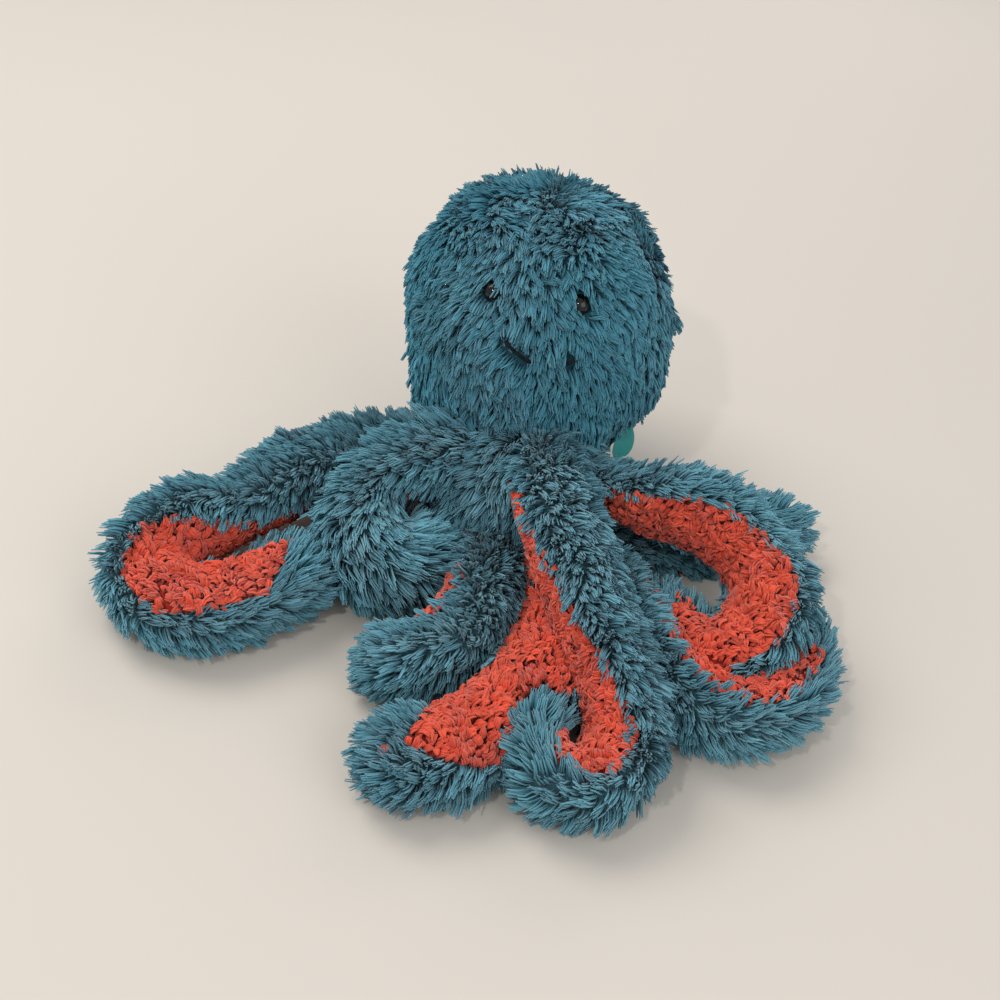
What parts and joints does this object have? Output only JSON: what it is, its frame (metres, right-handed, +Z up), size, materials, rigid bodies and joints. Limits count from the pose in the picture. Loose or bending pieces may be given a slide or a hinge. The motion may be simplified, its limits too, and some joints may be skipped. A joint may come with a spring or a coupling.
{
  "type": "plush octopus",
  "caption": "Plush octopus lying with its head leaned back: a round fluffy head with dome eyes and a stitched smile, and floppy curling arms with shaggy backs and curly linings.",
  "frame": {"origin": "on the surface the toy lies on, inside the flat base of its body", "axes": "+Z up, -Y the way the face looks, +X to the right as the face is seen"},
  "size_m": [0.3611, 0.3398, 0.1827],
  "materials": {
    "plush": "long shaggy blue-teal pile",
    "lining": "tight coral-red curled pile",
    "stuffing": "white polyester fibre filling",
    "eye": "polished near-black plastic",
    "washer": "plain moulded plastic",
    "thread": "matte black embroidery thread",
    "label": "satin teal woven tape"
  },
  "bodies": {
    "root": {"body_cover": "plush", "body_stuffing": "stuffing", "front_arm_back_inner": "plush", "front_arm_lining_inner": "lining", "front_arm_stuffing_inner": "stuffing", "right_arm_back_inner": "plush", "right_arm_lining_inner": "lining", "right_arm_stuffing_inner": "stuffing", "left_arm_back_inner": "plush", "left_arm_lining_inner": "lining", "left_arm_stuffing_inner": "stuffing", "back_left_arm_back_inner": "plush", "back_left_arm_lining_inner": "lining", "back_left_arm_stuffing_inner": "stuffing", "back_right_arm_back_inner": "plush", "back_right_arm_lining_inner": "lining", "back_right_arm_stuffing_inner": "stuffing", "front_right_arm_back_inner": "plush", "front_right_arm_lining_inner": "lining", "front_right_arm_stuffing_inner": "stuffing", "low_left_arm_back_inner": "plush", "low_left_arm_lining_inner": "lining", "low_left_arm_stuffing_inner": "stuffing", "front_left_arm_back_inner": "plush", "front_left_arm_lining_inner": "lining", "front_left_arm_stuffing_inner": "stuffing"},
    "head": {"head_cover": "plush", "head_stuffing": "stuffing", "eye_left": "eye", "eye_right": "eye", "eye_washer_left": "washer", "eye_washer_right": "washer", "mouth_stitch": "thread", "label": "label"},
    "front_arm": {"front_arm_back_outer": "plush", "front_arm_lining_outer": "lining", "front_arm_stuffing_outer": "stuffing"},
    "right_arm": {"right_arm_back_outer": "plush", "right_arm_lining_outer": "lining", "right_arm_stuffing_outer": "stuffing"},
    "left_arm": {"left_arm_back_outer": "plush", "left_arm_lining_outer": "lining", "left_arm_stuffing_outer": "stuffing"},
    "back_left_arm": {"back_left_arm_back_outer": "plush", "back_left_arm_lining_outer": "lining", "back_left_arm_stuffing_outer": "stuffing"},
    "back_right_arm": {"back_right_arm_back_outer": "plush", "back_right_arm_lining_outer": "lining", "back_right_arm_stuffing_outer": "stuffing"},
    "front_right_arm": {"front_right_arm_back_outer": "plush", "front_right_arm_lining_outer": "lining", "front_right_arm_stuffing_outer": "stuffing"},
    "low_left_arm": {"low_left_arm_back_outer": "plush", "low_left_arm_lining_outer": "lining", "low_left_arm_stuffing_outer": "stuffing"},
    "front_left_arm": {"front_left_arm_back_outer": "plush", "front_left_arm_lining_outer": "lining", "front_left_arm_stuffing_outer": "stuffing"}
  },
  "joints": [
    {"name": "head_nod", "type": "hinge", "parent": "root", "child": "head", "pos_m": [0, -0.02262, 0.08573], "axis": [1, 0, 0], "range_deg": [0, 12]},
    {"name": "front_arm_fold", "type": "hinge", "parent": "root", "child": "front_arm", "pos_m": [0.04695, -0.1061, 0.04585], "axis": [-0.8589, -0.5122, 0], "range_deg": [0, 25]},
    {"name": "right_arm_fold", "type": "hinge", "parent": "root", "child": "right_arm", "pos_m": [0.07905, -0.03252, 0.06232], "axis": [-0.1038, -0.9946, 0], "range_deg": [0, 12]},
    {"name": "left_arm_fold", "type": "hinge", "parent": "root", "child": "left_arm", "pos_m": [-0.05957, -0.02228, 0.05646], "axis": [-0.4333, 0.9012, 0], "range_deg": [0, 12]},
    {"name": "back_left_arm_fold", "type": "hinge", "parent": "root", "child": "back_left_arm", "pos_m": [-0.10502, -0.01512, 0.03408], "axis": [0, 0, -1], "range_deg": [0, 10]},
    {"name": "back_right_arm_fold", "type": "hinge", "parent": "root", "child": "back_right_arm", "pos_m": [0.09646, -0.00292, 0.01559], "axis": [0, 0, 1], "range_deg": [0, 20]},
    {"name": "front_right_arm_fold", "type": "hinge", "parent": "root", "child": "front_right_arm", "pos_m": [0.13632, -0.12158, 0.01784], "axis": [0, 0, -1], "range_deg": [0, 16]},
    {"name": "low_left_arm_fold", "type": "hinge", "parent": "root", "child": "low_left_arm", "pos_m": [-0.00835, -0.09603, 0.02217], "axis": [-0.961, 0.2764, 0], "range_deg": [0, 20]},
    {"name": "front_left_arm_fold", "type": "hinge", "parent": "root", "child": "front_left_arm", "pos_m": [-0.01086, -0.17708, 0.01602], "axis": [-0.5673, 0.8235, 0], "range_deg": [0, 20]}
  ]
}
